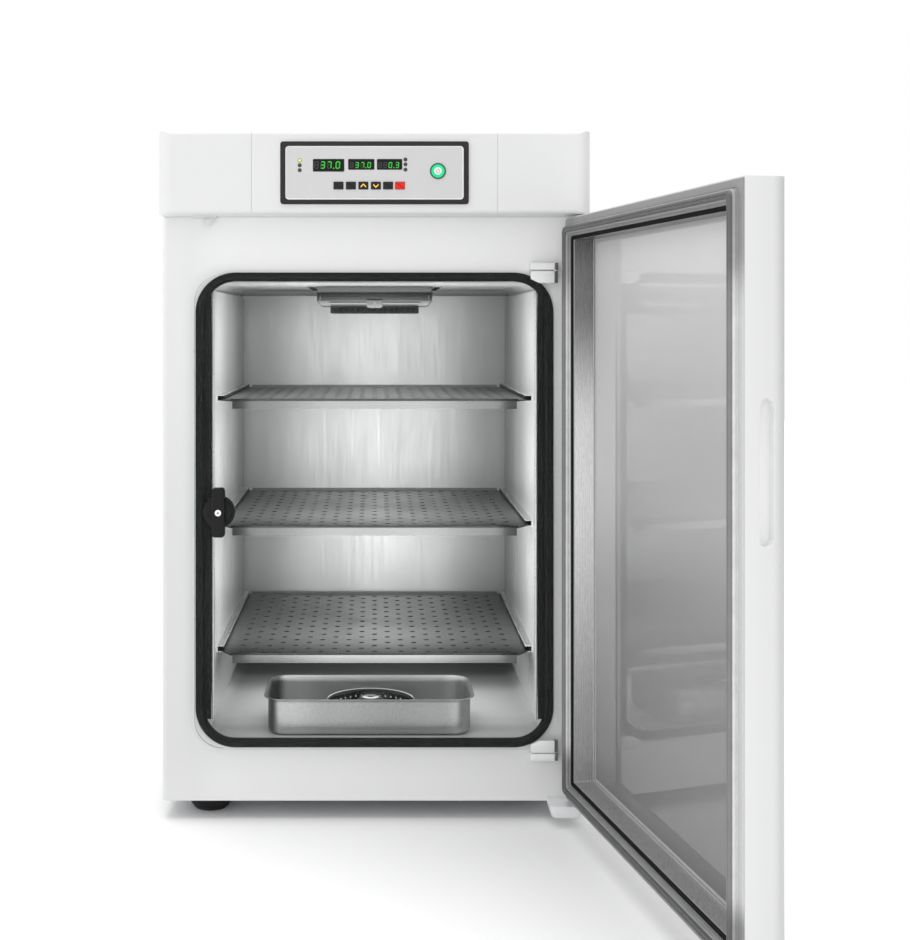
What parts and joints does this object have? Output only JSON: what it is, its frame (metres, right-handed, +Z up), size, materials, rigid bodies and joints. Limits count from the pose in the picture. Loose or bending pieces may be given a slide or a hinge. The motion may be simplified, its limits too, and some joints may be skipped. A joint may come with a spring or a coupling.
{
  "type": "laboratory incubator",
  "caption": "Bench-top CO2 laboratory incubator: insulated cabinet with stainless chamber, perforated shelves, humidity pan, glass inner door, insulated outer door and control head.",
  "frame": {"origin": "centre of the front left levelling foot's contact face, on the floor", "axes": "+Z up; +Y from the front of the cabinet to its back; +X from the foot towards the hinge side of the doors"},
  "size_m": [0.7385, 1.2786, 0.9965],
  "materials": {
    "white_paint": "powder coat, fine texture, satin",
    "white_moulding": "fine moulded texture, satin",
    "zinc_steel": "zinc plated, satin",
    "grey_casting": "light grey paint, satin",
    "glass_wool": "matte fibre",
    "silicone_mat": "matte",
    "stainless_sheet": "fine vertical brushing",
    "shelf_steel": "satin, perforated",
    "polished_steel": "polished",
    "dish_steel": "polished, dark reflections",
    "black_rubber": "matte moulded rubber",
    "foot_rubber": "matte",
    "black_plastic": "fine grain",
    "cast_motor": "cast, satin",
    "impeller_alloy": "satin",
    "sensor_body": "sintered",
    "black_bezel": "semi gloss",
    "grey_panel": "printed membrane, satin",
    "display_glass": "glossy window over green digits",
    "lamp_lens": "domed lens",
    "black_key": "satin key",
    "red_key": "satin key",
    "dark_ring": "satin",
    "green_lens": "lit translucent ring",
    "circuit_board": "solder mask",
    "brass": "machined",
    "clear_tubing": "silicone tube",
    "switch_plastic": "satin",
    "frame_moulding": "satin moulding",
    "grey_gasket": "ribbed soft profile",
    "door_mirror_glass": "grey tinted reflective glass",
    "nylon": "natural nylon",
    "clear_glass": "clear tempered, polished edge",
    "hinge_white": "satin",
    "knob_plastic": "satin moulded"
  },
  "bodies": {
    "cabinet": {"front_fascia": "white_paint", "left_side_panel": "white_paint", "right_side_panel": "white_paint", "rear_panel": "white_paint", "base_pan": "zinc_steel", "deck_plate": "zinc_steel", "cabinet_insulation": "glass_wool", "heater_mats": "silicone_mat", "chamber_liner": "stainless_sheet", "chamber_gasket": "black_rubber", "shelf_supports": "stainless_sheet", "shelf_rails": "stainless_sheet", "leveling_feet": "foot_rubber", "fan_mount_tray": "stainless_sheet", "fan_grille": "black_plastic", "fan_motor": "cast_motor", "co2_sensor": "sensor_body", "temperature_probe": "polished_steel", "head_center_cover": "white_moulding", "head_left_cap": "white_moulding", "head_right_cap": "white_moulding", "head_rear_cover": "white_paint", "display_bezel": "black_bezel", "control_panel": "grey_panel", "display_windows": "display_glass", "indicator_lamps": "lamp_lens", "power_button_ring": "dark_ring", "main_board": "circuit_board", "gas_valve": "brass", "gas_tube": "clear_tubing", "gas_inlet": "brass", "power_inlet": "black_plastic", "door_switch_base": "switch_plastic", "hinge_bracket_upper": "zinc_steel", "hinge_bracket_lower": "grey_casting", "inner_hinge_brackets": "hinge_white"},
    "outer_door": {"door_outer_shell": "white_paint", "door_inner_frame": "frame_moulding", "door_gasket": "grey_gasket", "door_glass": "door_mirror_glass", "door_insulation": "glass_wool", "door_bushes": "nylon"},
    "inner_door": {"inner_door_glass": "clear_glass", "inner_hinges": "hinge_white"},
    "latch": {"latch_knob": "knob_plastic", "latch_cam": "polished_steel"},
    "switch_lever": {"door_switch_lever": "white_moulding"},
    "power_button": {"power_button_cap": "green_lens"},
    "menu_key": {"key_menu": "black_key"},
    "mode_key": {"key_mode": "black_key"},
    "up_key": {"key_up": "black_key"},
    "down_key": {"key_down": "black_key"},
    "enter_key": {"key_enter": "black_key"},
    "stop_key": {"key_stop": "red_key"},
    "top_shelf": {"shelf_top": "shelf_steel"},
    "middle_shelf": {"shelf_middle": "shelf_steel"},
    "bottom_shelf": {"shelf_bottom": "shelf_steel"},
    "humidity_pan": {"water_pan": "polished_steel", "pan_dish": "dish_steel"},
    "fan": {"fan_impeller": "impeller_alloy"}
  },
  "joints": [
    {"name": "outer_door_hinge", "type": "hinge", "parent": "cabinet", "child": "outer_door", "pos_m": [0.537, -0.0895, 0.456], "axis": [0, 0, 1], "range_deg": [-100, 20]},
    {"name": "inner_door_hinge", "type": "hinge", "parent": "cabinet", "child": "inner_door", "pos_m": [0.5075, -0.075, 0.451], "axis": [0, 0, 1], "range_deg": [0, 90]},
    {"name": "latch_turn", "type": "hinge", "parent": "inner_door", "child": "latch", "pos_m": [0.0205, -0.085, 0.452], "axis": [0, -1, 0], "range_deg": [0, 90]},
    {"name": "door_switch_swing", "type": "hinge", "parent": "cabinet", "child": "switch_lever", "pos_m": [0.0035, -0.072, 0.8745], "axis": [1, 0, 0], "range_deg": [0, 25], "stiffness_Nm_per_rad": 0.01},
    {"name": "power_press", "type": "slide", "parent": "cabinet", "child": "power_button", "axis": [0, 1, 0], "range_m": [0, 0.0012], "stiffness_N_per_m": 800},
    {"name": "menu_key_press", "type": "slide", "parent": "cabinet", "child": "menu_key", "axis": [0, 1, 0], "range_m": [0, 0.0008], "stiffness_N_per_m": 600},
    {"name": "mode_key_press", "type": "slide", "parent": "cabinet", "child": "mode_key", "axis": [0, 1, 0], "range_m": [0, 0.0008], "stiffness_N_per_m": 600},
    {"name": "up_key_press", "type": "slide", "parent": "cabinet", "child": "up_key", "axis": [0, 1, 0], "range_m": [0, 0.0008], "stiffness_N_per_m": 600},
    {"name": "down_key_press", "type": "slide", "parent": "cabinet", "child": "down_key", "axis": [0, 1, 0], "range_m": [0, 0.0008], "stiffness_N_per_m": 600},
    {"name": "enter_key_press", "type": "slide", "parent": "cabinet", "child": "enter_key", "axis": [0, 1, 0], "range_m": [0, 0.0008], "stiffness_N_per_m": 600},
    {"name": "stop_key_press", "type": "slide", "parent": "cabinet", "child": "stop_key", "axis": [0, 1, 0], "range_m": [0, 0.0008], "stiffness_N_per_m": 600},
    {"name": "top_shelf_slide", "type": "slide", "parent": "cabinet", "child": "top_shelf", "axis": [0, -1, 0], "range_m": [0, 0.03]},
    {"name": "middle_shelf_slide", "type": "slide", "parent": "cabinet", "child": "middle_shelf", "axis": [0, -1, 0], "range_m": [0, 0.03]},
    {"name": "bottom_shelf_slide", "type": "slide", "parent": "cabinet", "child": "bottom_shelf", "axis": [0, -1, 0], "range_m": [0, 0.03]},
    {"name": "pan_slide", "type": "slide", "parent": "cabinet", "child": "humidity_pan", "axis": [0, -1, 0], "range_m": [0, 0.02]},
    {"name": "fan_spin", "type": "hinge", "parent": "cabinet", "child": "fan", "pos_m": [0.245, 0.212, 0.765], "axis": [0, 0, 1], "continuous": true}
  ]
}
